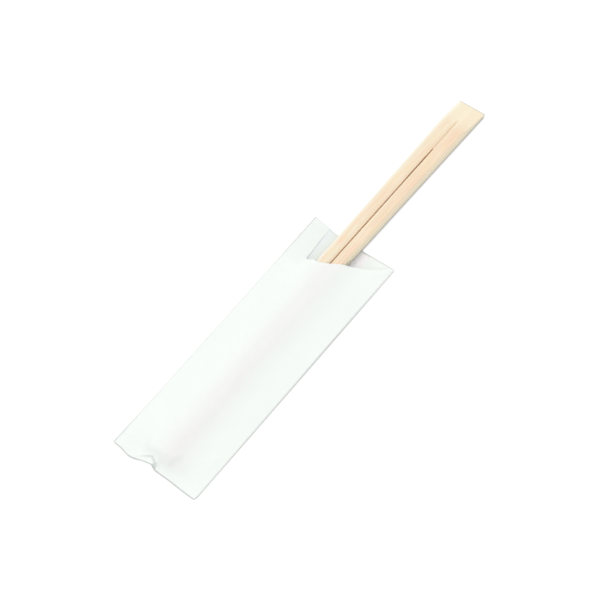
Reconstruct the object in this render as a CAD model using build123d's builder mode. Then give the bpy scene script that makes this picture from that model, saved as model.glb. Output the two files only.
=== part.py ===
"""Disposable wooden chopsticks: one unsplit pair, pushed into its paper sleeve.

Millimetres. +Y runs along the sticks towards the joined head, +Z is up.
The origin is the bottom centre of the whole part, on the surface that it lies on.
The pair is one piece of wood: two square sticks that are still joined at the head,
with a breaking groove on both faces and a sawn slit from the tips up to the joined wood.
The sleeve is one sheet of paper: a flat tube with a lap seam, closed at the tips.
"""

import os

from build123d import *

# Wooden pair, both sticks together
pair_length = 205.0
head_width = 12.5
tip_width = 7.6
head_thickness = 5.0
tip_thickness = 4.3
edge_bevel = 0.8
groove_width = 2.4
groove_depth = 1.1
slit_width = 0.6
joined_length = 29.5
slant_length = 16.0
slant_end_thickness = 2.0

# Paper sleeve as it lies
paper = 0.1
sleeve_width = 39.0
sleeve_length = 125.0
left_fold_lift = 4.1
right_fold_lift = 0.6
lap_start = 8.0
lap_width = 7.0

# Where the pair lies in the sleeve
pair_offset = -1.5
tip_gap = 6.5
slide_gap = 0.05

# Mouth: the front panel is cut back obliquely, beside a strip of its full length
strip_width = 8.5
mouth_depth = 17.5
mouth_flat = 5.5
mouth_sag = 1.6
mouth_corner_radius = 1.2

# Pucker that the tips push up in the closed end
pucker_height = 2.9
pucker_peak = -2.0
pucker_width = 9.0
crease_distance = 3.0
crease_dip = 0.9

# How far the loose paper curves away from straight lines at the mouth
front_hollow = 0.7
left_hollow = 0.25
right_arch = 0.3
crown = 0.12

# Places along Y and heights that follow from the sizes
total_length = tip_gap + pair_length
head_y = total_length / 2
tip_y = head_y - pair_length
closed_y = tip_y - tip_gap
mouth_y = closed_y + sleeve_length
pair_bottom = paper + slide_gap
left_x = -sleeve_width / 2
right_x = sleeve_width / 2


def part_way(y, at_head, at_tip):
    """Size of the tapering pair at y, from its value at the head and at the tips."""
    along = (head_y - y) / pair_length
    return at_head + (at_tip - at_head) * along


def half_width(y):
    """Half the width of the pair at y."""
    return part_way(y, head_width, tip_width) / 2


def pair_top(y):
    """Height of the pair's upper face at y."""
    return pair_bottom + part_way(y, head_thickness, tip_thickness)


def across(y):
    """Plane that cuts the part across at y, with its local y axis upwards."""
    return Plane(origin=(0, y, 0), x_dir=(1, 0, 0), z_dir=(0, -1, 0))


def pair_section(y):
    """Corners of the pair's section: bevelled long edges and a V groove in both faces."""
    half = half_width(y)
    low = pair_bottom
    high = pair_top(y)
    groove = groove_width / 2
    right_side = [
        (pair_offset, low + groove_depth),
        (pair_offset + groove, low),
        (pair_offset + half - edge_bevel, low),
        (pair_offset + half, low + edge_bevel),
        (pair_offset + half, high - edge_bevel),
        (pair_offset + half - edge_bevel, high),
        (pair_offset + groove, high),
        (pair_offset, high - groove_depth),
    ]
    left_side = [(2 * pair_offset - x, z) for x, z in reversed(right_side[1:-1])]
    return right_side + left_side


# Pair of sticks: a tapering blank, cut slantwise on top at the head, slit from the tips
with BuildPart() as chopsticks:
    for station in (head_y, tip_y):
        with BuildSketch(across(station)):
            with BuildLine():
                Polyline(*pair_section(station), close=True)
            make_face()
    loft(ruled=True)

    slant_start = head_y - slant_length
    slant_top = pair_top(slant_start)
    slant_fall = slant_top - pair_bottom - slant_end_thickness
    with BuildSketch(Plane.YZ):
        with BuildLine():
            Polyline(
                (slant_start, slant_top),
                (slant_start + 2 * slant_length, slant_top - 2 * slant_fall),
                (slant_start + 2 * slant_length, slant_top + head_thickness),
                (slant_start, slant_top + head_thickness),
                close=True,
            )
        make_face()
    extrude(amount=head_width, both=True, mode=Mode.SUBTRACT)

    slit_length = pair_length - joined_length + tip_gap
    with BuildSketch(Plane.XY):
        with Locations((pair_offset, closed_y + slit_length / 2)):
            Rectangle(slit_width, slit_length)
    extrude(amount=2 * head_thickness, mode=Mode.SUBTRACT)

chopsticks.part.label = "chopsticks"


def between(first, last, share):
    """Point at share of the way from first to last."""
    return tuple(a + (b - a) * share for a, b in zip(first, last))


def bowed(first, last, bow):
    """Arc from first to last whose middle lies bow above the straight line."""
    if bow == 0:
        return Line(first, last)
    x, z = between(first, last, 0.5)
    return ThreePointArc(first, (x, z + bow), last)


def tube_corners(y, ease):
    """Corners of the tube's outer face at y, over the pair; ease scales the paper's curves."""
    along = (mouth_y - y) / sleeve_length
    half = half_width(y)
    high = pair_top(y) + slide_gap + paper
    left_fold = (left_x, left_fold_lift * (1 - along))
    right_fold = (right_x, right_fold_lift * (1 - along) + paper)
    left_shoulder = (pair_offset - half + edge_bevel, high)
    right_shoulder = (pair_offset + half - edge_bevel, high)
    slope_x, slope_z = between(right_shoulder, right_fold, 0.5)
    return {
        "left fold": left_fold,
        "flat left": (pair_offset - half - edge_bevel, 0),
        "flat right": (pair_offset + half + edge_bevel, 0),
        "right fold": right_fold,
        "right slope": (slope_x, slope_z - front_hollow * ease),
        "right shoulder": right_shoulder,
        "left shoulder": left_shoulder,
        "left slope": between(left_shoulder, left_fold, 0.5),
    }


def end_corners():
    """Corners of the outer face at the closed end, where the paper lies flat but for the pucker."""
    stack = 4 * paper
    lift = paper / 2
    corners = tube_corners(tip_y, 0)
    corners["left fold"] = (left_x, lift)
    corners["right fold"] = (right_x, paper + lift)
    corners["right slope"] = (pucker_width, stack)
    corners["right shoulder"] = (pucker_peak + pucker_height, 2 * stack)
    corners["left shoulder"] = (pucker_peak, pucker_height + stack)
    corners["left slope"] = (pucker_peak - pucker_width, stack)
    return corners


def crease_corners():
    """Corners of the outer face at the crease, between the tips and the closed end."""
    tips = tube_corners(tip_y, 0)
    end = end_corners()
    share = 1 - crease_distance / tip_gap
    corners = {name: between(tips[name], end[name], share) for name in tips}
    x, z = corners["left shoulder"]
    corners["left shoulder"] = (x, z - crease_dip)
    return corners


def tube_section(y, corners, skin, ease):
    """Section of the tube on the plane across y: its outer face, or the space in it.

    skin is 0 for the outer face and the paper's thickness for the space. The lap seam
    lifts the right part of the back panel by one thickness of paper.
    """
    low_left = (corners["left fold"][0] + skin, corners["left fold"][1] + skin)
    low_right = (corners["right fold"][0] - skin, corners["right fold"][1] + skin)
    flat_left = (corners["flat left"][0], skin)
    flat_right = (corners["flat right"][0], skin)
    lap_x = lap_start if skin else lap_start + lap_width
    lap_share = (lap_x - flat_right[0]) / (low_right[0] - flat_right[0])
    arch = right_arch * ease
    under_fold = (low_right[0], low_right[1] - paper)
    lap_z = between(flat_right, under_fold, lap_share)[1] + 4 * arch * lap_share * (1 - lap_share)
    top = [
        (corners[name][0], corners[name][1] - skin)
        for name in ("right slope", "right shoulder", "left shoulder", "left slope")
    ]
    fold_edge = 0 if skin else 2 * paper
    high_right = (low_right[0], low_right[1] + fold_edge)
    high_left = (low_left[0], low_left[1] + fold_edge)
    with BuildSketch(across(y)) as section:
        with BuildLine():
            bowed(low_left, flat_left, -left_hollow * ease)
            Line(flat_left, flat_right)
            bowed(flat_right, (lap_x, lap_z), arch * lap_share**2)
            Line((lap_x, lap_z), (lap_x, lap_z + paper))
            bowed((lap_x, lap_z + paper), low_right, arch * (1 - lap_share) ** 2)
            if fold_edge:
                Line(low_right, high_right)
            bowed(high_right, top[0], -front_hollow * ease / 4)
            bowed(top[0], top[1], -front_hollow * ease / 4)
            bowed(top[1], top[2], crown * ease)
            Line(top[2], top[3])
            Line(top[3], high_left)
            if fold_edge:
                Line(high_left, low_left)
        make_face()
    return section.sketch.face()


# Space in the sleeve, from just past the mouth to one thickness of paper from the end
with BuildPart() as sleeve_space:
    past_mouth = mouth_y + paper
    space_stations = [
        tube_section(past_mouth, tube_corners(past_mouth, 1), paper, 1),
        tube_section(tip_y, tube_corners(tip_y, 0), paper, 0),
        tube_section(closed_y + crease_distance, crease_corners(), paper, 0),
        tube_section(closed_y + paper, end_corners(), paper, 0),
    ]
    loft(space_stations, ruled=True)

# What the oblique cut takes off the front panel, kept above the middle of the tube
with BuildPart() as mouth_cut:
    strip_x = left_x + strip_width
    mouth_low_y = mouth_y - mouth_depth
    mouth_turn = (strip_x + mouth_flat, mouth_low_y)
    mouth_end = (right_x - 2 * paper, mouth_y)
    with BuildSketch(Plane.XY):
        with BuildLine():
            Line((strip_x, mouth_y + paper), (strip_x, mouth_low_y))
            Line((strip_x, mouth_low_y), mouth_turn)
            bowed(mouth_turn, mouth_end, -mouth_sag)
            Line(mouth_end, (mouth_end[0], mouth_y + paper))
            Line((mouth_end[0], mouth_y + paper), (strip_x, mouth_y + paper))
        make_face()
        inner_corner = vertices().group_by(Axis.Y)[0].sort_by(Axis.X)[0]
        fillet(inner_corner, mouth_corner_radius)
    extrude(amount=2 * head_thickness)

    mouth_corners = tube_corners(mouth_y, 1)
    with BuildSketch(across(mouth_y + paper)):
        with BuildLine():
            Polyline(
                (left_x, 2 * head_thickness),
                (left_x, 0.6 * mouth_corners["left slope"][1]),
                (mouth_corners["right shoulder"][0], 0.5 * mouth_corners["right shoulder"][1]),
                (mouth_corners["right slope"][0], 0.6 * mouth_corners["right slope"][1]),
                (right_x, mouth_corners["right fold"][1] + paper),
                (right_x, 2 * head_thickness),
                close=True,
            )
        make_face()
    extrude(amount=mouth_depth + 2 * paper, mode=Mode.INTERSECT)

# Paper sleeve: the outer face of the tube, less its space and the cut at its mouth
with BuildPart() as paper_sleeve:
    face_stations = [
        tube_section(mouth_y, tube_corners(mouth_y, 1), 0, 1),
        tube_section(tip_y, tube_corners(tip_y, 0), 0, 0),
        tube_section(closed_y + crease_distance, crease_corners(), 0, 0),
        tube_section(closed_y, end_corners(), 0, 0),
    ]
    loft(face_stations, ruled=True)
    add(sleeve_space.part, mode=Mode.SUBTRACT)
    add(mouth_cut.part, mode=Mode.SUBTRACT)

paper_sleeve.part.label = "paper_sleeve"

os.makedirs("parts", exist_ok=True)
export_step(chopsticks.part, "parts/chopsticks.step")
export_step(paper_sleeve.part, "parts/paper_sleeve.step")

for piece in (chopsticks, paper_sleeve):
    box = piece.part.bounding_box()
    print(piece.part.label, "solids", len(piece.part.solids()), "faces", len(piece.part.faces()))
    print("  volume", round(piece.part.volume, 1), "area", round(piece.part.area, 1))
    print("  from", [round(v, 2) for v in box.min], "to", [round(v, 2) for v in box.max])
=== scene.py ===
# %% [markdown]
# # A pair of disposable wooden chopsticks in its paper sleeve
#
# The object is one unsplit pair of light wooden sticks, pushed into a flat paper sleeve.
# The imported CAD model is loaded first, as a fixed frame, and both of its solids are then
# replaced by pieces with finer shapes. Every length in this script is in metres.

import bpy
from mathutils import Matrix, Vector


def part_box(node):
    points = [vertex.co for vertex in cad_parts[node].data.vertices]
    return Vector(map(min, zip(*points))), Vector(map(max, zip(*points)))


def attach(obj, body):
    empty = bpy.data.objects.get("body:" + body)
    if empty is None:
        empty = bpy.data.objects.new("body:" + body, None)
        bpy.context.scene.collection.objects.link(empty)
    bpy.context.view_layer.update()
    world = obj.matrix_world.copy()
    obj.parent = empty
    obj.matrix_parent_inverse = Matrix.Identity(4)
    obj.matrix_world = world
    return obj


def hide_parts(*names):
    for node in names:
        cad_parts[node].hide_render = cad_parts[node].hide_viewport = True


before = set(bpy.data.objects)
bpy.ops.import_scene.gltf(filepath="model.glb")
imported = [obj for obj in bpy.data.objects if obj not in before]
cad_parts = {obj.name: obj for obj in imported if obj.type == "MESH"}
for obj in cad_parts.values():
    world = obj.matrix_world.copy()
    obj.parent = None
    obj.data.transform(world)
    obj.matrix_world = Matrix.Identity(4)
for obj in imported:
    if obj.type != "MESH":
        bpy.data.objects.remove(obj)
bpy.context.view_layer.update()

# %% Other modules, and the sizes that the CAD nodes give
import math

import bpy
import numpy as np

mm = 0.001
pair_low, pair_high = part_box("chopsticks")
sleeve_low, sleeve_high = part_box("paper_sleeve")
head_y = pair_high.y
tip_y = pair_low.y
mouth_y = sleeve_high.y
closed_y = sleeve_low.y
left_x = sleeve_low.x
right_x = sleeve_high.x
pair_x = (pair_low.x + pair_high.x) / 2
pair_length = head_y - tip_y
sleeve_length = mouth_y - closed_y
print("pair", round(pair_length / mm, 2), "sleeve", round(sleeve_length / mm, 2), "mm long")

# %% Colours as they are written
view = bpy.context.scene.view_settings
view.view_transform = "Standard"
print("view transform", view.view_transform)

# %% [markdown]
# ## Camera
#
# The photograph looks down on the sticks from the side of their tips, a little from the
# right. A camera needs a place, a direction and a lens: the direction comes from the angle
# of the sleeve's edges, and the lens from how much they draw together.

# %% Camera
camera_turn = math.radians(36.991)
camera_rise = math.radians(56.995)
camera_distance = 645.76 * mm
aim = (-2.137 * mm, -14.195 * mm, 0.0)
reach = camera_distance * math.cos(camera_rise)
camera_data = bpy.data.cameras.new("camera")
camera_data.lens = 99.15
camera_data.sensor_width = 36.0
camera_data.clip_start = 0.01
camera = bpy.data.objects.new("camera", camera_data)
camera.location = (
    aim[0] + reach * math.sin(camera_turn),
    aim[1] - reach * math.cos(camera_turn),
    aim[2] + camera_distance * math.sin(camera_rise),
)
camera.rotation_euler = (math.pi / 2 - camera_rise, 0.0, camera_turn)
bpy.context.scene.collection.objects.link(camera)
bpy.context.scene.camera = camera
print("camera at", [round(v, 4) for v in camera.location])

# %% [markdown]
# ## Writing node trees as sums
#
# A material or a Geometry Nodes tree is a chain of small sums. `Value` wraps a socket, and
# plain arithmetic on it adds Math nodes. `Net.add` makes any other node: it takes the node's
# type, its settings, and the values or links of its sockets.

# %% Helpers for node trees
class Value:
    """A socket of a node tree; sums with it add Math nodes."""

    def __init__(self, net, socket):
        self.net = net
        self.socket = socket

    def out(self, name):
        """Another output of the same node."""
        return Value(self.net, self.socket.node.outputs[name])

    def math(self, operation, *others):
        return self.net.math(operation, self, *others)

    def __add__(self, other):
        return self.math("ADD", other)

    def __sub__(self, other):
        return self.math("SUBTRACT", other)

    def __mul__(self, other):
        return self.math("MULTIPLY", other)

    def __truediv__(self, other):
        return self.math("DIVIDE", other)

    def __rsub__(self, other):
        return self.net.math("SUBTRACT", other, self)

    def __gt__(self, other):
        return self.math("GREATER_THAN", other)

    __radd__ = __add__


class Net:
    """A node tree that is being built."""

    def __init__(self, tree):
        self.tree = tree

    def add(self, kind, settings=None, sockets=None, output=0):
        """Make a node; a socket is given a number, a colour or another node's Value."""
        node = self.tree.nodes.new(kind)
        for name, setting in (settings or {}).items():
            setattr(node, name, setting)
        for name, value in (sockets or {}).items():
            target = node.inputs[name]
            if isinstance(value, Value):
                self.tree.links.new(value.socket, target)
            else:
                target.default_value = value
        return Value(self, node.outputs[output] if len(node.outputs) else None)

    def math(self, operation, *values):
        return self.add("ShaderNodeMath", {"operation": operation}, dict(enumerate(values)))

    def blend(self, share, first, second):
        """Mix of two colours."""
        settings = {"data_type": "RGBA", "clamp_factor": True}
        return self.add("ShaderNodeMix", settings, {0: share, 6: first, 7: second}, output=2)

    def step(self, value, start, end):
        """0 below start, 1 above end, smooth between them."""
        settings = {"interpolation_type": "SMOOTHSTEP"}
        sockets = {0: value, 1: start, 2: end, 3: 0.0, 4: 1.0}
        return self.add("ShaderNodeMapRange", settings, sockets)


def new_material(name):
    """An empty material and the net to build it with."""
    material = bpy.data.materials.new(name)
    material.use_nodes = True
    material.node_tree.nodes.clear()
    return material, Net(material.node_tree)


def finish_material(net, surface):
    """Connect the finished shader to the material's output."""
    net.add("ShaderNodeOutputMaterial", None, {"Surface": surface})


def rgb(red, green, blue):
    """A colour as a picture shows it, from 0 to 255, as Blender's own linear colour."""
    linear = []
    for part in (red / 255, green / 255, blue / 255):
        linear.append(part / 12.92 if part <= 0.04045 else ((part + 0.055) / 1.055) ** 2.4)
    return (*linear, 1.0)


# %% [markdown]
# ## Floor, surroundings and lamp
#
# The photograph has a pure white ground with hardly a shadow. A lamp strong enough to
# make the floor that white would overexpose the paper. So the floor is white mostly by its
# own light, and only where the camera sees it, with a narrow dark rim where the object
# touches it. White surroundings light everything evenly, and one large soft lamp on the
# left shapes the paper.

# %% Which rays see plain white
def seen_plainly(net):
    """1 for rays from the camera, a gloss or a clear surface, and 0 for the others."""
    path = net.add("ShaderNodeLightPath")
    seen = path.out("Is Camera Ray").math("MAXIMUM", path.out("Is Glossy Ray"))
    return seen.math("MAXIMUM", path.out("Is Transmission Ray"))


# %% Floor
floor_reach = 4.0
floor_drop = 0.05 * mm
floor_glow = 0.78
contact_shade = 1.0 * mm


def add_floor():
    """A large white floor just below the object."""
    mesh = bpy.data.meshes.new("floor")
    signs = [(-1, -1), (1, -1), (1, 1), (-1, 1)]
    corners = [(x * floor_reach, y * floor_reach, -floor_drop) for x, y in signs]
    mesh.from_pydata(corners, [], [(0, 1, 2, 3)])
    floor = bpy.data.objects.new("floor", mesh)
    bpy.context.scene.collection.objects.link(floor)
    material, net = new_material("floor_white")
    lit = net.add("ShaderNodeBsdfDiffuse", None, {"Color": (0.82, 0.82, 0.82, 1.0)})
    dim = net.add("ShaderNodeBsdfDiffuse", None, {"Color": (0.34, 0.34, 0.34, 1.0)})
    closeness = {"Distance": contact_shade}
    near = net.add("ShaderNodeAmbientOcclusion", {"samples": 16}, closeness).out("AO")
    glow_sockets = {"Color": (1.0, 1.0, 1.0, 1.0), "Strength": near * floor_glow}
    glow = net.add("ShaderNodeEmission", None, glow_sockets)
    bright = net.add("ShaderNodeAddShader", None, {0: dim, 1: glow})
    choice = {0: seen_plainly(net), 1: lit, 2: bright}
    finish_material(net, net.add("ShaderNodeMixShader", None, choice))
    mesh.materials.append(material)
    print("floor", 2 * floor_reach, "m wide")


add_floor()

# %% Surroundings
fill_level = 0.965
world = bpy.data.worlds.new("world")
bpy.context.scene.world = world
world.use_nodes = True
world.node_tree.nodes.clear()
world_net = Net(world.node_tree)
strength = fill_level + seen_plainly(world_net) * (1.0 - fill_level)
sky_sockets = {"Color": (1.0, 1.0, 1.0, 1.0), "Strength": strength}
sky = world_net.add("ShaderNodeBackground", None, sky_sockets)
world_net.add("ShaderNodeOutputWorld", None, {"Surface": sky})
print("surroundings at", fill_level)

# %% Lamp
lamp_azimuth = 140.0
lamp_elevation = 58.0
lamp_strength = 0.46
lamp_spread = 22.0
lamp_data = bpy.data.lights.new("key", "SUN")
lamp_data.energy = lamp_strength
lamp_data.angle = math.radians(lamp_spread)
lamp = bpy.data.objects.new("key", lamp_data)
lamp.rotation_euler = (0.0, math.radians(90 - lamp_elevation), math.radians(lamp_azimuth))
bpy.context.scene.collection.objects.link(lamp)
print("lamp at", lamp_azimuth, "degrees from +X and", lamp_elevation, "degrees up")

# %% [markdown]
# ## Wood
#
# The sticks are a pale, straight-grained wood with a pinkish cream colour. Long thin
# streaks come from noise that is stretched along the sticks, and slower noises change the
# tone from place to place. The slanted cut at the head is a paler tone. Light and shade are
# painted on as well: a darker line of painted shade where the pair will be broken apart,
# painted shade on the side faces with a dark painted shadow line at their lower edge, a
# painted highlight on the left edge, and the groove and the saw slit painted lighter to
# soften their shade. The head's end face is painted grey. Each is a layer: a share between
# 0 and 1 that says where it lies, and the colour it has there. The layers need the sizes of
# the pair, so those come first.

# %% Sizes of the pair
head_width = 12.5 * mm
tip_width = 7.6 * mm
head_thickness = 5.0 * mm
tip_thickness = 4.3 * mm
edge_bevel = 0.8 * mm
groove_width = 2.4 * mm
groove_depth = 1.1 * mm
slit_width = 0.6 * mm
joined_length = 29.5 * mm
slant_length = 16.0 * mm
slant_end_thickness = 2.0 * mm
pair_bottom = pair_low.z
narrowing = (head_width - tip_width) / 2
print("pair narrows by", round(narrowing / mm, 2), "mm on each side")


# %% Grain of the wood
def grain(net, x, y, z):
    """Base colour of the wood, layers for its streaks, and three noises by name."""

    def streaks(across, along, detail, shift):
        """Noise with cells of the given size across and along the grain, in metres."""
        parts = {0: x / across + shift, 1: y / along, 2: z / across}
        cell = net.add("ShaderNodeCombineXYZ", None, parts)
        sockets = {"Vector": cell, "Scale": 1.0, "Detail": detail, "Roughness": 0.55}
        return net.add("ShaderNodeTexNoise", None, sockets)

    fine = streaks(0.42 * mm, 16 * mm, 3.0, 3.1)
    broad = streaks(2.2 * mm, 60 * mm, 2.0, 7.7)
    tone = streaks(6.0 * mm, 30 * mm, 1.0, 1.3)
    ring = net.step(streaks(1.1 * mm, 90 * mm, 1.0, 5.2), 0.50, 0.66)
    rosy = net.step(streaks(1.5 * mm, 6 * mm, 2.0, 4.4), 0.52, 0.72)
    straw = net.step(streaks(1.9 * mm, 11 * mm, 2.0, 8.8), 0.52, 0.72)
    right_stick = net.step(x, pair_x - 1 * mm, pair_x + 4 * mm)
    base = net.blend(net.step(tone, 0.35, 0.65), rgb(235, 227, 203), rgb(238, 221, 197))
    layers = [
        (right_stick * 0.75, rgb(236, 208, 181)),
        (net.step(broad, 0.35, 0.7) * 0.3, rgb(239, 213, 182)),
        (rosy * 0.85, rgb(243, 208, 183)),
        (straw * 0.7, rgb(239, 221, 182)),
        (ring * 0.3, rgb(233, 204, 169)),
        (net.step(fine, 0.45, 0.64) * 0.5, rgb(236, 207, 177)),
        ((1 - net.step(fine, 0.36, 0.46)) * 0.5, rgb(246, 231, 207)),
    ]
    return base, layers, {"fine": fine, "broad": broad, "straw": straw}


# %% Marks of the saw and the knife, and painted light and shade on the wood
def tool_marks_and_painted_light(net, x, y, z, straw):
    """Layers for what the tools leave and for painted light and shade, placed from the middle, the
    head and the sides.
    """
    from_middle = (x - pair_x).math("ABSOLUTE")
    from_head = head_y - y
    side_x = head_width / 2 - from_head * (narrowing / pair_length)
    groove_edge = groove_width / 2
    in_groove = 1 - net.step(from_middle, groove_edge - 0.2 * mm, groove_edge + 0.05 * mm)
    break_line_shade = 1 - net.step(from_middle, 0.12 * mm, 0.5 * mm)
    break_line_shade = break_line_shade * net.step(from_head, 9.5 * mm, 12 * mm)
    fresh_cut = 1 - net.step(from_head - straw * 2 * mm, 7 * mm, 20 * mm)
    side_face = net.step(from_middle - side_x, -0.75 * mm, -0.1 * mm)
    left_edge_highlight = net.step(pair_x - x - side_x, -1.9 * mm, -0.5 * mm)
    low_shadow_band = 1 - net.step(z, 1.0 * mm, 1.6 * mm)
    sawn_end = 1 - net.step(from_head, 0.4 * mm, 0.8 * mm)
    kerf_edge = slit_width / 2
    kerf = 1 - net.step(from_middle, kerf_edge + 0.01 * mm, kerf_edge + 0.06 * mm)
    kerf = kerf * net.step(from_head, joined_length - 0.3 * mm, joined_length + 0.1 * mm)
    near_slit_end = 1 - net.step(from_head, 46 * mm, 52 * mm)
    return [
        # Painted light: the groove is painted lighter to soften its shade.
        (in_groove * 0.55, rgb(248, 235, 211)),
        # Painted shade: a darker line at the bottom of the V groove.
        (break_line_shade * 0.5, rgb(210, 182, 156)),
        (fresh_cut * 0.7, rgb(240, 231, 205)),
        # Painted shade: the side faces are painted a duller tone for the shade on them.
        (side_face * 0.85, rgb(236, 226, 202)),
        # Painted highlight on the left edge, where its bevel catches the light.
        (left_edge_highlight * 0.75, rgb(243, 240, 226)),
        # Painted shadow: a dark line at the lower edge of the side faces.
        (side_face * low_shadow_band, rgb(108, 114, 92)),
        # The head's end face is painted grey.
        (sawn_end * 0.8, rgb(204, 203, 196)),
        # Painted light: the saw slit's walls are painted lighter to soften their shade, a little
        # less near the head.
        (kerf, rgb(255, 234, 212)),
        (kerf * near_slit_end, rgb(242, 216, 190)),
    ]


# %% Wood material
def layered(net, colour, layers):
    """The colour with each layer's colour mixed in by its share, one after another."""
    for share, layer_colour in layers:
        colour = net.blend(share, colour, layer_colour)
    return colour


def wood_material():
    """Wood from its grain and the marks, with a bump that follows the streaks."""
    material, net = new_material("pale_wood")
    place = net.add("ShaderNodeTexCoord").out("Object")
    apart = net.add("ShaderNodeSeparateXYZ", None, {0: place})
    x, y, z = apart.out("X"), apart.out("Y"), apart.out("Z")
    base, layers, noises = grain(net, x, y, z)
    layers = layers + tool_marks_and_painted_light(net, x, y, z, noises["straw"])
    fine, broad = noises["fine"], noises["broad"]
    height = {"Strength": 0.25, "Distance": 0.08 * mm, "Height": fine + broad * 0.5}
    surface = {
        "Base Color": layered(net, base, layers),
        "Roughness": 0.62 + fine * 0.12,
        "Normal": net.add("ShaderNodeBump", None, height),
        "Specular IOR Level": 0.35,
    }
    finish_material(net, net.add("ShaderNodeBsdfPrincipled", None, surface))
    print("wood in", len(layers), "layers")
    return material


wood = wood_material()

# %% [markdown]
# ## The pair of sticks
#
# The real pair is sawn from one blank: it tapers towards the tips, its long edges are
# bevelled, a V groove on both faces marks where it is broken apart, and a saw slit parts
# the sticks up to the joined head. That is a rule, so Geometry Nodes make it: the section
# at the head is drawn, drawn out along Y, narrowed by a rule, and cut by two blocks.

# %% The taper
def part_way(y, at_head, at_tip):
    """Size of the tapering pair at y."""
    return at_head + (at_tip - at_head) * (head_y - y) / pair_length


def half_width(y):
    return part_way(y, head_width, tip_width) / 2


def pair_top(y):
    return pair_bottom + part_way(y, head_thickness, tip_thickness)


print("tips", round(2 * half_width(tip_y) / mm, 2), "mm wide")


# %% Section at the head
def head_section():
    """Corners of the section at the head, from the lower groove anticlockwise."""
    half = head_width / 2
    low = pair_bottom
    high = low + head_thickness
    right_side = [
        (0.0, low + groove_depth),
        (groove_width / 2, low),
        (half - edge_bevel, low),
        (half, low + edge_bevel),
        (half, high - edge_bevel),
        (half - edge_bevel, high),
        (groove_width / 2, high),
        (0.0, high - groove_depth),
    ]
    return right_side + [(-x, z) for x, z in reversed(right_side[1:-1])]


section_mesh = bpy.data.meshes.new("pair_section")
section = [(pair_x + x, head_y, z) for x, z in head_section()]
section_mesh.from_pydata(section, [], [tuple(range(len(section)))])
print("section corners", len(section))


# %% First steps of the tree: the tapered blank
weld_distance = 0.01 * mm


def tapered_blank(net, given):
    """The section drawn out along -Y, closed at both ends and tapered to the tips."""
    offset = net.add("ShaderNodeCombineXYZ", None, {1: 0.0 - given.out("Length")})
    drawn = net.add(
        "GeometryNodeExtrudeMesh",
        {"mode": "FACES"},
        {"Mesh": given.out("Geometry"), "Offset": offset, "Offset Scale": 1.0, "Individual": False},
    )
    # The extrusion leaves the head open, so the section itself closes it, turned outwards
    turned = net.add("GeometryNodeFlipFaces", None, {0: given.out("Geometry")})
    both = net.add("GeometryNodeJoinGeometry")
    net.tree.links.new(drawn.socket, both.socket.node.inputs[0])
    net.tree.links.new(turned.socket, both.socket.node.inputs[0])
    weld = {"Geometry": both, "Distance": weld_distance}
    whole = net.add("GeometryNodeMergeByDistance", None, weld)

    # Outer points move in and top points move down, more and more towards the tips
    apart = net.add("ShaderNodeSeparateXYZ", None, {0: net.add("GeometryNodeInputPosition")})
    share = (given.out("Head Y") - apart.out("Y")) / given.out("Length")
    across = apart.out("X") - given.out("Centre X")
    outer = across.math("ABSOLUTE") > groove_width
    upper = apart.out("Z") > given.out("Bottom Z") + given.out("Head Thickness") / 2
    inward = 0.0 - across.math("SIGN") * outer * share * given.out("Narrowing")
    downward = 0.0 - upper * share * given.out("Thinning")
    move = net.add("ShaderNodeCombineXYZ", None, {0: inward, 2: downward})
    return net.add("GeometryNodeSetPosition", None, {"Geometry": whole, "Offset": move})


# %% The block above the slanted cut
def slant_block(net, given):
    """A block turned about the line where the slanted cut starts."""
    start_share = given.out("Slant Length") / given.out("Length")
    head_top = given.out("Bottom Z") + given.out("Head Thickness")
    start_top = head_top - start_share * given.out("Thinning")
    fall = start_top - given.out("Bottom Z") - given.out("Slant End Thickness")
    slope = net.math("ARCTAN2", fall, given.out("Slant Length"))
    block = net.add("GeometryNodeMeshCube", None, {"Size": (40 * mm, 40 * mm, 10 * mm)})
    raised = {"Geometry": block, "Translation": (0.0, 20 * mm, 5 * mm)}
    above = net.add("GeometryNodeTransform", None, raised)
    tilt = net.add("ShaderNodeCombineXYZ", None, {0: 0.0 - slope})
    start_y = given.out("Head Y") - given.out("Slant Length")
    start_parts = {0: given.out("Centre X"), 1: start_y, 2: start_top}
    start = net.add("ShaderNodeCombineXYZ", None, start_parts)
    placed = {"Geometry": above, "Rotation": tilt, "Translation": start}
    return net.add("GeometryNodeTransform", None, placed)


# %% The block in the saw slit
slit_cuts = 30
slit_pinch = 0.35


def slit_block(net, given):
    """A thin block from past the tips to the joined head, narrower at its end."""
    parts = {0: given.out("Slit Width"), 1: given.out("Length"), 2: 20 * mm}
    size = net.add("ShaderNodeCombineXYZ", None, parts)
    block = net.add("GeometryNodeMeshCube", None, {"Size": size, "Vertices Y": slit_cuts})
    spot = net.add("ShaderNodeSeparateXYZ", None, {0: net.add("GeometryNodeInputPosition")})
    at_end = spot.out("Y") > given.out("Length") * 0.49
    pinch = net.add("ShaderNodeCombineXYZ", None, {0: 0.0 - spot.out("X") * at_end * slit_pinch})
    pinched = net.add("GeometryNodeSetPosition", None, {"Geometry": block, "Offset": pinch})
    middle_y = given.out("Head Y") - given.out("Joined Length") - given.out("Length") / 2
    place = net.add("ShaderNodeCombineXYZ", None, {0: given.out("Centre X"), 1: middle_y})
    return net.add("GeometryNodeTransform", None, {"Geometry": pinched, "Translation": place})


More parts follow.
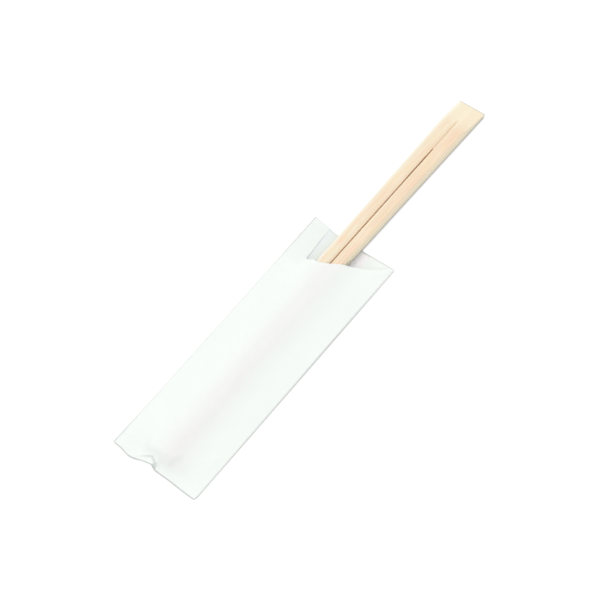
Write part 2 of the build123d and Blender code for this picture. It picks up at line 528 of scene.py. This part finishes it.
# %% The whole tree, with the pair's sizes as its inputs
def pair_tree():
    """Geometry Nodes tree from the section to the finished pair."""
    tree = bpy.data.node_groups.new("draw_out_pair", "GeometryNodeTree")
    face = tree.interface
    face.new_socket("Geometry", in_out="INPUT", socket_type="NodeSocketGeometry")
    sizes = {
        "Length": pair_length,
        "Centre X": pair_x,
        "Head Y": head_y,
        "Bottom Z": pair_bottom,
        "Head Thickness": head_thickness,
        "Narrowing": narrowing,
        "Thinning": head_thickness - tip_thickness,
        "Slit Width": slit_width,
        "Joined Length": joined_length,
        "Slant Length": slant_length,
        "Slant End Thickness": slant_end_thickness,
    }
    for name, size in sizes.items():
        socket = face.new_socket(name, in_out="INPUT", socket_type="NodeSocketFloat")
        socket.default_value = size
    face.new_socket("Wood", in_out="INPUT", socket_type="NodeSocketMaterial")
    face.new_socket("Geometry", in_out="OUTPUT", socket_type="NodeSocketGeometry")
    net = Net(tree)
    given = net.add("NodeGroupInput")
    cut = tapered_blank(net, given)
    for block in (slant_block(net, given), slit_block(net, given)):
        sawing = {"operation": "DIFFERENCE", "solver": "EXACT"}
        cut = net.add("GeometryNodeMeshBoolean", sawing, {"Mesh 1": cut, "Mesh 2": block})
    real = net.add("GeometryNodeRealizeInstances", None, {"Geometry": cut})
    finish = {"Geometry": real, "Material": given.out("Wood")}
    made = net.add("GeometryNodeSetMaterial", None, finish)
    net.add("NodeGroupOutput", None, {0: made})
    print("tree with", len(tree.nodes), "nodes and", len(sizes), "sizes")
    return tree


# %% Run the tree, round the sharp edges, and keep the plain mesh
edge_round = 0.14 * mm
sharp_angle = math.radians(20)


def run_tree(name, start_mesh, tree, inputs):
    """A plain mesh object made by a Geometry Nodes tree from a start mesh."""
    source = bpy.data.objects.new(name + "_source", start_mesh)
    bpy.context.scene.collection.objects.link(source)
    modifier = source.modifiers.new("nodes", "NODES")
    modifier.node_group = tree
    for item in tree.interface.items_tree:
        if item.in_out == "INPUT" and item.name in inputs:
            modifier[item.identifier] = inputs[item.name]
    bevel = source.modifiers.new("bevel", "BEVEL")
    bevel.limit_method = "ANGLE"
    bevel.angle_limit = sharp_angle
    bevel.width = edge_round
    bevel.segments = 2
    evaluated = source.evaluated_get(bpy.context.evaluated_depsgraph_get())
    mesh = bpy.data.meshes.new_from_object(evaluated)
    mesh.name = name
    bpy.data.objects.remove(source)
    made = bpy.data.objects.new(name, mesh)
    bpy.context.scene.collection.objects.link(made)
    return made


sticks = run_tree("stick_pair", section_mesh, pair_tree(), {"Wood": wood})
stick_points = np.array([v.co for v in sticks.data.vertices])
print("pair has", len(stick_points), "points and", len(sticks.data.polygons), "faces")
low, high = stick_points.min(0), stick_points.max(0)
print("pair from", (low / mm).round(2), "to", (high / mm).round(2), "mm")
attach(sticks, "root")
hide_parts("chopsticks")

# %% [markdown]
# ## Paper
#
# The sleeve is thin white paper with a faintly green cast, dull and a little fibrous. Some
# of its tones belong to places on the sleeve: the wood's colour shows through over the
# sticks, mixed with painted shade; painted shade lines darken the folds, rims and creases;
# painted shade lies on the slope right of the sticks; and the inside of the mouth has
# painted tints of its shade. A texture on the object could not follow them, so the mesh
# carries four numbers for each point, wood_tint_and_shade, shade, edge and inner, and the
# material mixes a colour in by each.

# %% Paper material
through_share = 0.12


def paper_material():
    """Paper from soft clouds of tone, the painted numbers, and a little light through it."""
    material, net = new_material("thin_white_paper")
    flat = net.add("ShaderNodeUVMap", {"uv_map": "flat"})

    def cloud(size, stretch, detail, shift):
        """Noise on the flat sheet, with cells of the given size in metres."""
        scale = (1 / size, 1 / (size * stretch), 1.0)
        sockets = {"Vector": flat, "Scale": scale, "Location": (shift, shift, 0.0)}
        spot = net.add("ShaderNodeMapping", None, sockets)
        noise = {"Vector": spot, "Scale": 1.0, "Detail": detail}
        return net.add("ShaderNodeTexNoise", None, noise)

    def painted(name):
        """A number that the mesh carries for each point."""
        return net.add("ShaderNodeAttribute", {"attribute_name": name}).out("Fac")

    fibres = cloud(0.22 * mm, 2.6, 3.0, 4.0)
    flocks = cloud(1.6 * mm, 1.5, 2.0, 9.0)
    patches = cloud(9 * mm, 1.8, 1.0, 2.0)
    inner = painted("inner")
    base = net.blend(net.step(patches, 0.3, 0.7), rgb(251, 255, 251), rgb(250, 254, 251))
    layers = [
        (net.step(flocks, 0.35, 0.7) * 0.35, rgb(248, 253, 249)),
        # Wood colour showing through the paper, mixed with painted shade.
        (painted("wood_tint_and_shade") * (0.8 + patches * 0.4), rgb(246, 243, 243)),
        (painted("shade"), rgb(232, 238, 235)),
        # Painted tints of the shade inside the mouth: cool on the left, lilac on the right.
        (inner.math("MAXIMUM", 0.0), rgb(247, 252, 254)),
        ((0.0 - inner).math("MAXIMUM", 0.0), rgb(255, 253, 255)),
        # Painted shade lines along folds, rims, creases and the seam.
        (painted("edge"), rgb(176, 183, 178)),
    ]
    height = {"Strength": 0.2, "Distance": 0.03 * mm, "Height": fibres + flocks * 0.6}
    surface = {
        "Base Color": layered(net, base, layers),
        "Roughness": 0.78 + fibres * 0.1,
        "Normal": net.add("ShaderNodeBump", None, height),
        "Specular IOR Level": 0.25,
    }
    front_light = net.add("ShaderNodeBsdfPrincipled", None, surface)
    through_light = net.add("ShaderNodeBsdfTranslucent", None, {"Color": rgb(249, 253, 249)})
    both = {0: through_share, 1: front_light, 2: through_light}
    finish_material(net, net.add("ShaderNodeMixShader", None, both))
    print("paper in", len(layers), "layers")
    return material


paper_white = paper_material()

# %% [markdown]
# ## How the paper lies
#
# The sleeve is one sheet, folded at the left and the right, with a glued lap under the
# right side. A height for every point of the front and of the back describes it well:
# straight lines between the folds and the sticks come first, and then the paper relaxes.
# Each pass smooths the heights a little and lifts them clear of the sticks again, as a
# tight sheet would settle over them.

# %% Sizes of the sleeve
paper = 0.1 * mm
slide_gap = 0.05 * mm
layer_gap = 0.01 * mm
fold_radius = 0.1 * mm
left_fold_lift = 4.1 * mm
right_fold_lift = 0.6 * mm
lap_start = 8.0 * mm
lap_width = 7.0 * mm
right_hollow = 0.7 * mm
left_slack = 0.9 * mm
slack_reach = 45 * mm
pucker_height = 2.9 * mm
pucker_peak = -2.0 * mm
pucker_width = 9.0 * mm
pucker_drop = 0.4 * mm
crease_distance = 3.0 * mm
crease_dip = 0.9 * mm

cell = 0.25 * mm
grid_left = left_x + 1.5 * fold_radius
grid_right = right_x - 1.5 * fold_radius
grid_x = np.linspace(grid_left, grid_right, len(np.arange(grid_left, grid_right + cell / 2, cell)))
grid_y = np.linspace(closed_y, mouth_y, round(sleeve_length / cell) + 1)
print("height grid", len(grid_x), "by", len(grid_y))


# %% Straight-line heights of the front and the back
def front_corners(y):
    """Places and heights of the front's outer face across the sleeve at y."""
    along = (mouth_y - y) / sleeve_length
    half = half_width(y) - edge_bevel
    high = pair_top(y) + slide_gap + paper
    left = (left_x, left_fold_lift * (1 - along) + 2 * paper)
    right = (right_x, right_fold_lift * (1 - along) + 3 * paper)
    left_shoulder = (pair_x - half, high)
    right_shoulder = (pair_x + half, high)
    hollow = right_hollow * (1 - along)
    slack = left_slack * max(0.0, 1 - (mouth_y - y) / slack_reach) ** 2
    left_slope = ((left_shoulder[0] + left[0]) / 2, (left_shoulder[1] + left[1]) / 2 - slack)
    right_slope = ((right_shoulder[0] + right[0]) / 2, (right_shoulder[1] + right[1]) / 2 - hollow)
    return [left, left_slope, left_shoulder, right_shoulder, right_slope, right]


def end_corners():
    """The same at the closed end, where the paper lies flat but for the pucker."""
    stack = 4 * paper
    return [
        (left_x, 3 * paper),
        (pucker_peak - pucker_width, stack),
        (pucker_peak, pucker_height + stack),
        (pucker_drop, 2 * stack),
        (pucker_width, stack),
        (right_x, 4 * paper),
    ]


def front_line(y):
    """Straight-line height of the front at every place of grid_x."""
    corners = front_corners(max(y, tip_y))
    if y < tip_y:
        share = (tip_y - y) / (tip_y - closed_y)
        pairs = zip(corners, end_corners())
        corners = [(a[0] + (b[0] - a[0]) * share, a[1] + (b[1] - a[1]) * share) for a, b in pairs]
        dip = crease_dip * max(0.0, 1 - abs(y - closed_y - crease_distance) / crease_distance)
        corners[2] = (corners[2][0], corners[2][1] - dip)
    places, heights = zip(*corners)
    return np.interp(grid_x, places, heights)


def back_line(y):
    """Straight-line height of the back's outer face."""
    along = (mouth_y - y) / sleeve_length
    half = half_width(max(y, tip_y)) + edge_bevel
    places = [left_x, pair_x - half, pair_x + half, right_x]
    heights = [left_fold_lift * (1 - along), 0.0, 0.0, right_fold_lift * (1 - along)]
    return np.interp(grid_x, places, heights)


front = np.array([front_line(y) for y in grid_y]) - paper / 2
back = np.array([back_line(y) for y in grid_y]) + paper / 2
print("front up to", round(front.max() / mm, 2), "mm before it relaxes")


# %% Helpers for soft changes
def fade(value, start, end):
    """0 below start, 1 above end, smooth between them."""
    t = np.clip((value - start) / (end - start), 0, 1)
    return t * t * (3 - 2 * t)


def bell(value, centre, width):
    """1 at the centre, falling away smoothly on both sides."""
    return np.exp(-(((value - centre) / width) ** 2))


def smoothed(field):
    """One pass of smoothing that leaves the left and right edges where they are."""
    padded = np.pad(field, ((1, 1), (0, 0)), mode="edge")
    lengthwise = 0.25 * padded[:-2] + 0.5 * field + 0.25 * padded[2:]
    left, middle, right = lengthwise[:, :-2], lengthwise[:, 1:-1], lengthwise[:, 2:]
    across = field.copy()
    across[:, 1:-1] = 0.25 * left + 0.5 * middle + 0.25 * right
    return across


# %% Relax the paper over the sticks
relax_passes = 160
pull = 0.03
pull_at_end = 0.6
clearance = 0.02 * mm


def stick_ceiling():
    """Lowest height that the front's middle layer may have over the sticks."""
    ceiling = np.full(front.shape, -1.0)
    for row, y in enumerate(grid_y):
        if y < tip_y - 0.2 * mm:
            continue
        y = max(y, tip_y)
        away = np.abs(grid_x - pair_x)
        half = half_width(y)
        top = pair_top(y) - np.clip(away - (half - edge_bevel), 0, edge_bevel)
        clear = top + slide_gap + paper / 2 + clearance
        ceiling[row] = np.where(away < half + 0.1 * mm, clear, -1.0)
    return ceiling


def settled(field, pull, lowest):
    """The field after many smoothing passes, pulled back to its start and kept up."""
    wanted = field.copy()
    for _ in range(relax_passes):
        field = smoothed(field)
        field += pull * (wanted - field)
        field = np.maximum(field, lowest)
    return field


ceiling = stick_ceiling()
stiff_end = 1 - fade(grid_y - closed_y, 0.5 * mm, 5 * mm)
front = settled(front, pull + pull_at_end * stiff_end[:, None], ceiling)
back = settled(back, pull, paper / 2)
beside_pair = np.abs(grid_x - pair_x) < half_width(mouth_y) + 0.4 * mm
under = beside_pair[None, :] & (grid_y > tip_y - 0.3 * mm)[:, None]
back = smoothed(smoothed(np.where(under, paper / 2, back)))
back = np.where(under, np.minimum(back, paper / 2 + clearance), back)
print("front between", round(front.min() / mm, 2), "and", round(front.max() / mm, 2), "mm")


# %% Small irregularities of the loose paper
def soft_noise(seed, size_x, size_y):
    """Smooth noise on the height grid, about -1 to 1, with cells of the given size."""
    random = np.random.default_rng(seed)
    count_x = int((right_x - left_x) / size_x) + 4
    count_y = int(sleeve_length / size_y) + 4
    coarse = random.uniform(-1, 1, (count_y, count_x))

    def smooth_weights(places):
        """For each place, its cell and the cubic weights of four neighbours."""
        cell_number = np.floor(places).astype(int)
        t = places - cell_number
        weights = [(1 - t) ** 3, 3 * t**3 - 6 * t**2 + 4, -3 * t**3 + 3 * t**2 + 3 * t + 1, t**3]
        return cell_number, [w / 6 for w in weights]

    column, weights_x = smooth_weights((grid_x - left_x) / size_x)
    row, weights_y = smooth_weights((grid_y - closed_y) / size_y)
    total = np.zeros((len(grid_y), len(grid_x)))
    for i, wy in enumerate(weights_y):
        coarse_row = coarse[np.minimum(row + i, count_y - 1)]
        for j, wx in enumerate(weights_x):
            near = coarse_row[:, np.minimum(column + j, count_x - 1)]
            total += wy[:, None] * wx[None, :] * near
    return total * 2.0


from_fold = fade(np.minimum(grid_x - left_x, right_x - grid_x), 0.5 * mm, 4 * mm)[None, :]
off_sticks = fade(np.abs(grid_x - pair_x), 5 * mm, 8 * mm)[None, :]
from_end = fade(grid_y - closed_y, 1 * mm, 8 * mm)[:, None]
waves = 0.16 * mm * soft_noise(3, 7 * mm, 16 * mm) + 0.06 * mm * soft_noise(5, 3 * mm, 5 * mm)
front = front + waves * from_fold * off_sticks * from_end
on_sticks = 0.05 * mm * (1 + soft_noise(8, 4 * mm, 7 * mm))
front = front + on_sticks * (1 - off_sticks) * from_end
print("waves up to", round(np.abs(waves).max() / mm, 2), "mm")

# %% The strip beside the cut lies down on the back towards its end
strip_width = 8.5 * mm
strip_x = left_x + strip_width
strip_gap = 0.1 * mm
strip_lift = 0.15 * mm
lying_across = 1 - fade(grid_x, strip_x - 0.6 * mm, strip_x + 3.3 * mm)
lying = fade(grid_y, mouth_y - 27 * mm, mouth_y - 18 * mm)[:, None] * lying_across[None, :]
before_rim = 1 - fade(grid_y, mouth_y - 8 * mm, mouth_y - 1 * mm)
edge_lift = (grid_x - left_x) / strip_width * before_rim[:, None]
on_back = back + paper + strip_gap + strip_lift * edge_lift
front = front * (1 - lying) + on_back * lying
print("strip", round(strip_width / mm, 1), "mm wide lies down beside the mouth")

# %% [markdown]
# ## The closed end
#
# The two layers are pressed together there, and the sleeve's end has puckered up beside
# the middle. From the left, its rim rises slowly to a sharp peak and then drops. A crease
# runs behind it, up to 3 mm inside the sleeve. Soft smoothing would round all of this away,
# so it is laid on the heights afterwards: a flat facet from the rim to the crease, and a
# fade from the crease into the relaxed paper.

# %% Creases at the closed end
rim_places = [left_x, -12.4 * mm, -9.3 * mm, -5.2 * mm, -1.1 * mm, -0.4 * mm, 3 * mm, right_x]
rim_heights = [0.75 * mm, 0.4 * mm, 0.55 * mm, 1.5 * mm, 3.55 * mm, 0.8 * mm, 0.5 * mm, 0.4 * mm]
crease_places = [-11.2 * mm, -8.2 * mm, -3.4 * mm, -0.6 * mm, 0.2 * mm]
crease_lengths = [0.0, 1.2 * mm, 3.1 * mm, 1.5 * mm, 0.0]
crease_heights = [0.4 * mm, 1.0 * mm, 2.5 * mm, 2.1 * mm, 0.8 * mm]
rim_height = np.interp(grid_x, rim_places, rim_heights) - paper / 2
crease_length = np.interp(grid_x, crease_places, crease_lengths)
crease_height = np.interp(grid_x, crease_places, crease_heights)
crease_height = np.where(crease_length > 0, crease_height, rim_height)
from_closed = (grid_y - closed_y)[:, None]
up_facet = np.clip(from_closed / np.maximum(crease_length, 0.01 * mm), 0, 1)
facet = rim_height + (crease_height - rim_height) * up_facet
fade_end = (6 + 6 * fade(np.abs(grid_x - pair_x), 4.5 * mm, 8 * mm)) * mm
behind = crease_height + (front - crease_height) * fade(from_closed, crease_length, fade_end)
front = np.maximum(np.where(from_closed < crease_length, facet, behind), ceiling)

# The back follows the front up in the last few millimetres, where they are stuck together
stuck = 1 - fade(grid_y - closed_y, 0.6 * mm, 4.2 * mm)[:, None]
on_lap = (grid_x > lap_start)[None, :]
follow = front - paper - layer_gap
follow = np.where(on_lap, follow - paper - layer_gap, follow)
back = np.maximum(back * (1 - stuck) + follow * stuck, paper / 2)
second = back + paper + layer_gap
front = np.maximum(front, np.where(on_lap, second, back) + paper + layer_gap)
print("closed end's peak", round(front[0].max() / mm, 2), "mm")


# %% Reading the height grids between their points
def height_at(field, x, y):
    """Height of a field at places x and y, which are arrays of one shape."""
    fx = np.clip((x - grid_x[0]) / (grid_x[1] - grid_x[0]), 0, len(grid_x) - 1.001)
    fy = np.clip((y - grid_y[0]) / (grid_y[1] - grid_y[0]), 0, len(grid_y) - 1.001)
    ix, iy = fx.astype(int), fy.astype(int)
    tx, ty = fx - ix, fy - iy
    near = field[iy, ix] * (1 - tx) + field[iy, ix + 1] * tx
    far = field[iy + 1, ix] * (1 - tx) + field[iy + 1, ix + 1] * tx
    return near * (1 - ty) + far * ty


# %% [markdown]
# ## The sheet
#
# One strip of paper is laid round the tube: from the lap's outer edge under the sticks to
# the left fold, over the front to the right fold, and back to the lap's inner edge. Each
# cell of the front that the oblique cut crosses is trimmed exactly on the line of the cut.

# %% Columns and rows of the sheet
step_x = 0.55 * mm
step_y = 0.62 * mm
fold_steps = 5
fine_left, fine_right, fine_steps = -2.4 * mm, 1.2 * mm, 18
rim = 0.3 * mm
end_zone, end_steps = 5 * mm, 13


def sheet_columns():
    """Kind and place of every column: back, fold, front, fold and lap."""
    left, right = grid_x[0], grid_x[-1]
    places = np.concatenate([
        np.linspace(left, fine_left, round((fine_left - left) / step_x), endpoint=False),
        np.linspace(fine_left, fine_right, fine_steps, endpoint=False),
        np.linspace(fine_right, right, round((right - fine_right) / step_x) + 1),
    ])
    turns = [i / (fold_steps + 1) for i in range(1, fold_steps + 1)]
    lap_end = lap_start + lap_width
    back_places = [lap_end, *places[places < lap_end - 0.2 * mm][::-1]]
    lap_places = [*places[places > lap_start + 0.2 * mm][::-1], lap_start]
    return [
        *(("back", x, 0.0) for x in back_places),
        *(("left fold", left, turn) for turn in turns),
        *(("front", x, 0.0) for x in places),
        *(("right fold", right, turn) for turn in turns),
        *(("lap", x, 0.0) for x in lap_places),
    ]


columns = sheet_columns()
end_rows = np.linspace(closed_y + rim, closed_y + end_zone, end_steps)
rows = np.linspace(closed_y + end_zone, mouth_y - rim, round(sleeve_length / step_y) - 7)
rows = np.concatenate([[closed_y], end_rows[:-1], rows, [mouth_y]])
print("sheet of", len(columns), "by", len(rows), "points")

# %% Place of every point of the sheet
bulge_x, bulge_width, bulge = -11 * mm, 3.8 * mm, 1.05 * mm
right_bulge = 0.5 * mm
bulge_reach = 18 * mm
corner_length, corner_cut = 1.6 * mm, 0.3 * mm


def column_points(kind, x, turn):
    """Points of one column, closed end first."""
    xs = np.full(len(rows), x)
    layers = {"back": back, "lap": second, "front": front}
    if kind in layers:
        z = height_at(layers[kind], xs, rows)
    else:
        is_left = kind == "left fold"
        top = height_at(front, xs, rows)
        bottom = height_at(back if is_left else second, xs, rows)
        start, end = (bottom, top) if is_left else (top, bottom)
        angle = math.pi * turn
        z = (start + end) / 2 + (start - end) / 2 * math.cos(angle)
        xs = xs + (-1 if is_left else 1) * fold_radius * math.sin(angle)
    return np.stack([xs, rows, z], axis=1)


def shape_end(points):
    """Bulge the closed end's outline a little, and take off its right corner."""
    end_bulge = bulge * bell(points[..., 0], bulge_x, bulge_width)
    end_bulge += right_bulge * fade(points[..., 0], 5 * mm, 17 * mm)
    points[..., 1] -= end_bulge * (1 - fade(points[..., 1] - closed_y, 0, bulge_reach))
    corner = np.clip(1 - (points[..., 1] - closed_y) / corner_length, 0, 1)
    points[..., 0] -= corner_cut * corner**2 * fade(points[..., 0], 12 * mm, right_x)


points = np.array([column_points(*column) for column in columns])
shape_end(points)
print("outline at the closed end reaches", round(points[..., 1].min() / mm, 2), "mm")

# %% Keep what the oblique cut leaves of the front
mouth_depth = 17.5 * mm
mouth_flat = 5.5 * mm
mouth_sag = 1.6 * mm
cut_wave, cut_wavelength = 0.12 * mm, 2.1 * mm
strip_inset, strip_taper = 0.4 * mm, 0.8 * mm
inner_round = 1.2 * mm


def keep_side(column, y):
    """Above 0 where the front stays, below 0 where the cut takes it away."""
    kind, x, _ = columns[column]
    if kind != "front":
        return 1.0
    turn_x = strip_x + mouth_flat
    end_x = right_x - 2 * paper
    share = min(max((x - turn_x) / (end_x - turn_x), 0.0), 1.0)
    cut_y = mouth_y - mouth_depth + mouth_depth * share - mouth_sag * 4 * share * (1 - share)
    cut_y += cut_wave * math.sin(x / cut_wavelength) * fade(x, strip_x, turn_x)
    taper = min(max((y - 3 * mm) / (12 * mm), 0.0), 1.0)
    beside = strip_x - strip_inset - strip_taper * taper - x
    below = cut_y - y
    rounding = max(inner_round - abs(beside - below), 0.0)
    return max(beside, below) + rounding * rounding / (4 * inner_round)


def trimmed_sheet():
    """Points, faces and flat places of the sheet, cut at the mouth."""
    verts, flats, index = [], [], {}
    across = np.linalg.norm(np.diff(points[:, 0, :], axis=0), axis=1)
    flat_x = np.concatenate([[0.0], np.cumsum(across)])
    keep = np.array([[keep_side(c, y) for y in rows] for c in range(len(columns))])

    def corner_point(c, r):
        if (c, r) not in index:
            index[c, r] = len(verts)
            verts.append(points[c, r])
            flats.append((flat_x[c], rows[r], c))
        return index[c, r]

    def cut_point(a, b):
        key = (min(a, b), max(a, b))
        if key not in index:
            a, b = key
            share = keep[a] / (keep[a] - keep[b])
            share = min(max(share, 0.02), 0.98)
            index[key] = len(verts)
            verts.append(points[a] + (points[b] - points[a]) * share)
            flat_place = flat_x[a[0]] + (flat_x[b[0]] - flat_x[a[0]]) * share
            flat_row = rows[a[1]] + (rows[b[1]] - rows[a[1]]) * share
            flats.append((flat_place, flat_row, a[0]))
        return index[key]

    faces = []
    for c in range(len(columns) - 1):
        for r in range(len(rows) - 1):
            loop = [(c, r), (c, r + 1), (c + 1, r + 1), (c + 1, r)]
            inside = [keep[p] > 0 for p in loop]
            if not any(inside):
                continue
            face = []
            for k, p in enumerate(loop):
                following = (k + 1) % 4
                if inside[k]:
                    face.append(corner_point(*p))
                if inside[k] != inside[following]:
                    face.append(cut_point(p, loop[following]))
            faces.append(face)
    return np.array(verts), faces, np.array(flats)


verts, faces, flats = trimmed_sheet()
print("sheet has", len(verts), "points and", len(faces), "faces")

# %% [markdown]
# ## The numbers that the paper's material reads
#
# They are worked out for each point of the sheet, from where it is. A picture painted on
# the flat sheet could hold them too, but formulas stay sharp at any size and are easy to
# change.

# %% Where each point is
kinds = np.array([columns[int(c)][0] for c in flats[:, 2]])
sheet_x, sheet_y = verts[:, 0], verts[:, 1]
row_y = flats[:, 1]
along_sleeve = (mouth_y - sheet_y) / sleeve_length
is_front, is_back = kinds == "front", kinds == "back"
is_fold = np.char.find(kinds, "fold") >= 0
print("points of the front", is_front.sum(), "back", is_back.sum(), "folds", is_fold.sum())


# %% Wood tint with painted shade, and painted shade
def paint_wood_tint_and_shade():
    """How much of the wood's colour shows through, with painted shade that drifts right towards the
    tips.
    """
    beyond_tips = 1 - fade(tip_y - sheet_y, -2 * mm, 5.5 * mm)
    centre = -0.2 * mm + 3.0 * mm * along_sleeve
    strength = 0.55 + 0.2 * along_sleeve
    over_pair = is_front * beyond_tips * strength * bell(sheet_x, centre, 4.8 * mm)
    half = np.array([half_width(max(y, tip_y)) for y in sheet_y])
    below_pair = 1 - fade(np.abs(sheet_x - pair_x) - half, -1.5 * mm, 0.5 * mm)
    return np.maximum(over_pair, 0.5 * is_back * beyond_tips * below_pair)


def paint_shade():
    """The soft shade on the front's slope, right of the sticks."""
    return is_front * 0.12 * bell(sheet_x, 6.5 * mm, 3.5 * mm)


def paint_mouth_shade_tint():
    """Painted tint of the shade inside the mouth: above 0 left of the sticks, and below 0 right of
    them.
    """
    left_part = fade(sheet_x, -14 * mm, -12 * mm) * (1 - fade(sheet_x, -10.8 * mm, -8.8 * mm))
    right_part = 1 - fade(sheet_x, 6 * mm, 12 * mm)
    inside = is_back * fade(sheet_y, -6 * mm, 0)
    return inside * np.where(sheet_x < 0, left_part, -right_part)


# %% Painted shade lines along folds, rims and creases
def paint_edge_shade():
    """How much painted shade line each point has; where lines meet, the stronger one counts."""
    to_end = np.minimum(mouth_y - sheet_y, 2 * (sheet_y - closed_y))
    near_end = 1 - fade(to_end, 8 * mm, 34 * mm)
    right_line = 0.4 + 0.35 * bell(along_sleeve, 0.33, 0.18)
    folds = is_fold * np.where(sheet_x > 0, right_line, 0.7 + 0.3 * near_end)
    by_right_fold = 0.4 * right_line * (1 - fade(right_x - sheet_x, 0.2 * mm, 0.5 * mm))
    by_left_fold = 1 - fade(sheet_x - left_x, 0.2 * mm, 0.5 * mm)
    by_left_fold = (0.15 + 0.3 * near_end) * by_left_fold

    from_rim = row_y - closed_y
    end_line = 0.35 + 0.25 * fade(sheet_x, -19 * mm, -13 * mm)
    end_line = end_line + 0.5 * bell(sheet_x, -3 * mm, 4.5 * mm)
    end_rim = end_line * (1 - fade(from_rim, 0, 0.28 * mm))
    rim_start = np.where(sheet_x < 0, -0.35 * mm, -0.6 * mm)
    mouth_rim = np.where(is_back, 0.9, 0.5) * fade(row_y - mouth_y, rim_start, -0.05 * mm)
    seam = 0.5 * (flats[:, 2] == 0)

    # Painted shade in the crease behind the closed end's rim, and beside its step.
    crease_line = np.interp(sheet_x, crease_places, crease_lengths, left=-9, right=-9)
    crease = bell(from_rim, crease_line, 0.45 * mm) * fade(sheet_x, -9 * mm, -4 * mm)
    by_step = 1 - fade(np.abs(sheet_x + 0.6 * mm), 0.4 * mm, 0.9 * mm)
    step_side = by_step * (1 - fade(from_rim, 0.2 * mm, 1.8 * mm))
    on_front = is_front * 0.5
    lines = [folds, by_right_fold, by_left_fold, end_rim, mouth_rim, seam]
    return np.maximum.reduce([*lines, on_front * crease, on_front * step_side])


paints = {
    "wood_tint_and_shade": paint_wood_tint_and_shade(),
    "shade": paint_shade(),
    "edge": paint_edge_shade(),
    "inner": paint_mouth_shade_tint(),
}
print({name: [round(float(v), 2) for v in (p.min(), p.max())] for name, p in paints.items()})

# %% [markdown]
# ## From sheet to sleeve
#
# A surface has no thickness, and real paper shows its edge at the mouth. The Solidify
# modifier gives the sheet its 0.1 mm, half to each side, and the result is kept as a plain
# mesh. It puts all points of one side first and then those of the other, in the same order,
# so the two sides of the paper can be told apart afterwards.

# %% Build the sheet and give it its thickness
sheet_mesh = bpy.data.meshes.new("sleeve")
sheet_mesh.from_pydata(verts.tolist(), [], faces)
flat_map = sheet_mesh.uv_layers.new(name="flat")
corner_points = np.empty(len(sheet_mesh.loops), int)
sheet_mesh.loops.foreach_get("vertex_index", corner_points)
flat_map.data.foreach_set("uv", flats[corner_points, :2].ravel().astype(np.float32))
for name, values in paints.items():
    layer = sheet_mesh.attributes.new(name, "FLOAT", "POINT")
    layer.data.foreach_set("value", values.astype(np.float32))
sheet_mesh.materials.append(paper_white)
sheet = bpy.data.objects.new("sleeve_sheet", sheet_mesh)
bpy.context.scene.collection.objects.link(sheet)
wall = sheet.modifiers.new("thickness", "SOLIDIFY")
wall.thickness = paper
wall.offset = 0.0
wall.use_rim = True
evaluated = sheet.evaluated_get(bpy.context.evaluated_depsgraph_get())
thick = bpy.data.meshes.new_from_object(evaluated)
thick.name = "sleeve"
print("paper", round(paper / mm, 2), "mm thick,", len(thick.vertices), "points")


# %% Only the upper side of the back layer shows the painted shade tint inside the mouth
def keep_upper_side(mesh, name, count):
    """Clear a painted number on the lower of a mesh's two sides of count points each."""
    coordinates = np.empty(len(mesh.vertices) * 3)
    mesh.vertices.foreach_get("co", coordinates)
    heights = coordinates.reshape(-1, 3)[:, 2]
    tones = np.empty(len(mesh.vertices))
    mesh.attributes[name].data.foreach_get("value", tones)
    first, second_side = slice(0, count), slice(count, 2 * count)
    tones[first] *= heights[first] > heights[second_side]
    tones[second_side] *= heights[second_side] > heights[first]
    mesh.attributes[name].data.foreach_set("value", tones)


keep_upper_side(thick, "inner", len(verts))
sheet.modifiers.clear()
sheet.data = thick
thick.shade_smooth()
thick.set_sharp_from_angle(angle=math.radians(50))
flat_width = round(float(flats[:, 0].max() / mm), 1)
print("sleeve has", len(thick.polygons), "faces; flat sheet", flat_width, "mm round")
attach(sheet, "root")
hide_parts("paper_sleeve")
